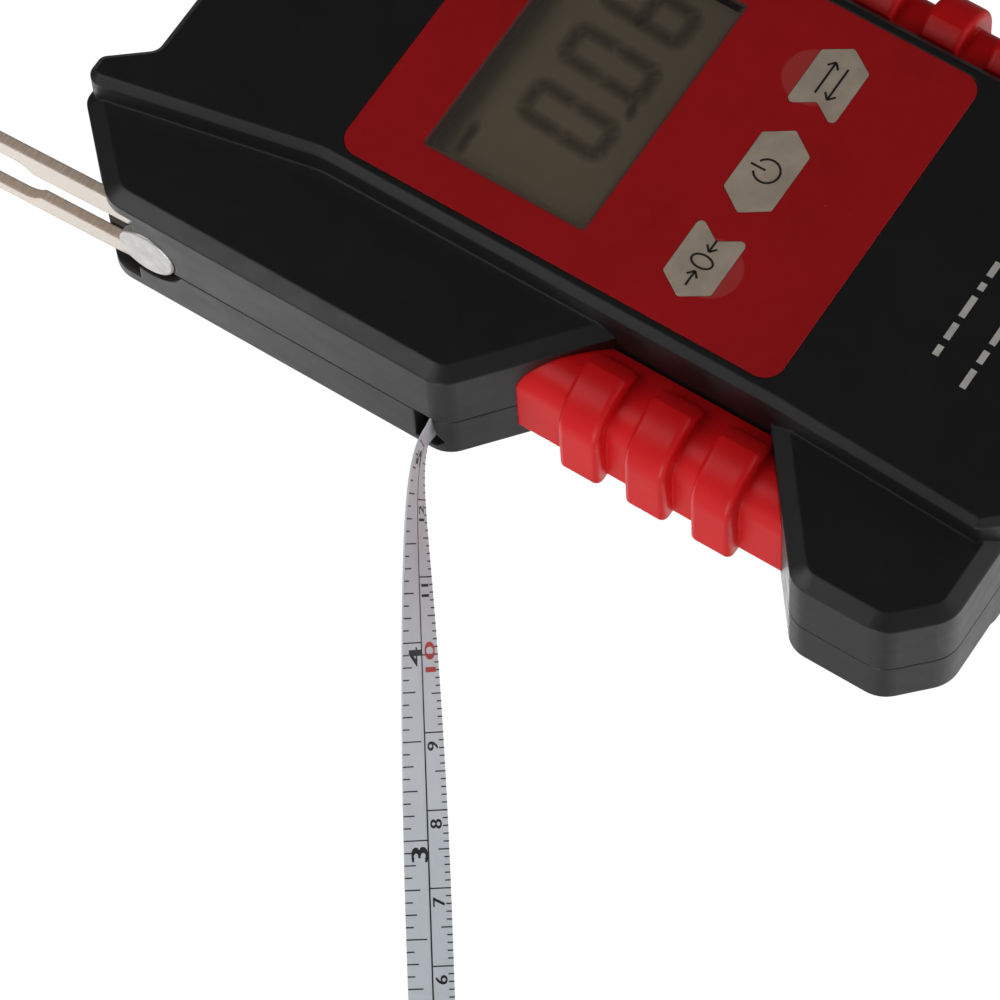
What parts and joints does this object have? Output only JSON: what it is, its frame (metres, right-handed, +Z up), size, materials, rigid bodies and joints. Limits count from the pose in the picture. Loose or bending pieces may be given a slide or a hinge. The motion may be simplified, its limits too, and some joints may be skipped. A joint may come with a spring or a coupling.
{
  "type": "digital fish scale",
  "caption": "Handheld hanging scale with a display and keys, side finger grips, a slotted steel handle, a swivelling hook and a pull-out measuring tape.",
  "frame": {"origin": "centre of the flat raised back face, halfway across the case", "axes": "+Z up towards the handle, +X to the right as the display is read, +Y out of the back face"},
  "size_m": [0.2008, 0.0827, 0.2405],
  "materials": {
    "black_case": "fine textured moulded ABS",
    "red_rubber": "satin moulded elastomer",
    "red_overlay": "printed polycarbonate sheet, satin",
    "clear_window": "clear acrylic",
    "lcd_glass": "reflective LCD with grey segments",
    "white_plastic": "moulded natural plastic",
    "key_print": "grey printed key cap",
    "board_green": "solder-masked circuit board",
    "black_resin": "epoxy",
    "zinc_steel": "zinc-plated steel",
    "nickel_steel": "nickel-plated stamped steel",
    "hook_steel": "polished plated steel",
    "cell_aluminium": "milled aluminium",
    "spring_steel": "blued spring steel",
    "white_tape": "printed coated fibreglass tape",
    "battery_wrap": "plain battery sleeve",
    "lead_red": "insulated lead"
  },
  "bodies": {
    "case": {"front_shell": "black_case", "rear_shell": "black_case", "left_grip": "red_rubber", "right_grip": "red_rubber", "control_overlay": "red_overlay", "display_window": "clear_window", "lcd_panel": "lcd_glass", "lcd_frame": "white_plastic", "lcd_connector": "white_plastic", "tact_switches": "black_resin", "circuit_board": "board_green", "controller_chip": "black_resin", "board_components": "black_resin", "board_screws": "zinc_steel", "case_screws": "zinc_steel", "load_cell": "cell_aluminium", "strain_gauges": "white_plastic", "shaft_eye": "zinc_steel", "swivel_bracket": "zinc_steel", "bracket_screw": "zinc_steel", "hook_washer": "zinc_steel", "stem_bush": "white_plastic", "battery_cells": "battery_wrap", "battery_contacts": "nickel_steel", "battery_leads": "lead_red", "load_cell_cable": "white_plastic", "tape_spring": "spring_steel", "reel_axle": "zinc_steel", "reel_cover": "white_plastic", "reel_cover_screws": "zinc_steel"},
    "cross_shaft": {"handle_shaft": "zinc_steel", "shaft_end_cap": "zinc_steel"},
    "handle": {"handle_bail": "nickel_steel"},
    "hook": {"hook": "hook_steel", "hook_nut": "zinc_steel"},
    "tare_key": {"key_tare": "key_print"},
    "power_key": {"key_power": "key_print"},
    "unit_key": {"key_unit": "key_print"},
    "battery_door": {"battery_cover": "black_case"},
    "reel": {"tape_reel": "white_plastic", "tape_coil": "white_tape"},
    "tape": {"tape_blade": "white_tape", "tape_end_tab": "nickel_steel"}
  },
  "joints": [
    {"name": "handle_rock", "type": "hinge", "parent": "case", "child": "cross_shaft", "pos_m": [0, -0.0118, 0.0511], "axis": [1, 0, 0], "range_deg": [-0.5, 4.3]},
    {"name": "handle_slide", "type": "slide", "parent": "cross_shaft", "child": "handle", "axis": [0, 0.075, 0.9972], "range_m": [-0.012, 0]},
    {"name": "hook_swivel", "type": "hinge", "parent": "case", "child": "hook", "pos_m": [0, -0.0118, -0.09], "axis": [0, 0, 1], "continuous": true},
    {"name": "tare_press", "type": "slide", "parent": "case", "child": "tare_key", "axis": [0, 1, 0], "range_m": [0, 0.0006], "stiffness_N_per_m": 2500},
    {"name": "power_press", "type": "slide", "parent": "case", "child": "power_key", "axis": [0, 1, 0], "range_m": [0, 0.0006], "stiffness_N_per_m": 2500},
    {"name": "unit_press", "type": "slide", "parent": "case", "child": "unit_key", "axis": [0, 1, 0], "range_m": [0, 0.0006], "stiffness_N_per_m": 2500},
    {"name": "battery_door_lift", "type": "slide", "parent": "case", "child": "battery_door", "axis": [0, 1, 0], "range_m": [0, 0.02]},
    {"name": "tape_pull", "type": "slide", "parent": "case", "child": "tape", "axis": [-0.7511, 0.4423, -0.4901], "range_m": [-0.122, 0], "deforming": ["tape_blade"]},
    {"name": "reel_spin", "type": "hinge", "parent": "case", "child": "reel", "pos_m": [-0.0285, -0.007, 0.02085], "axis": [0, 1, 0], "range_deg": [-570, 20]}
  ],
  "couplings": [
    {"joint": "reel_spin", "follows": "tape_pull", "rad_per_m": 80}
  ]
}
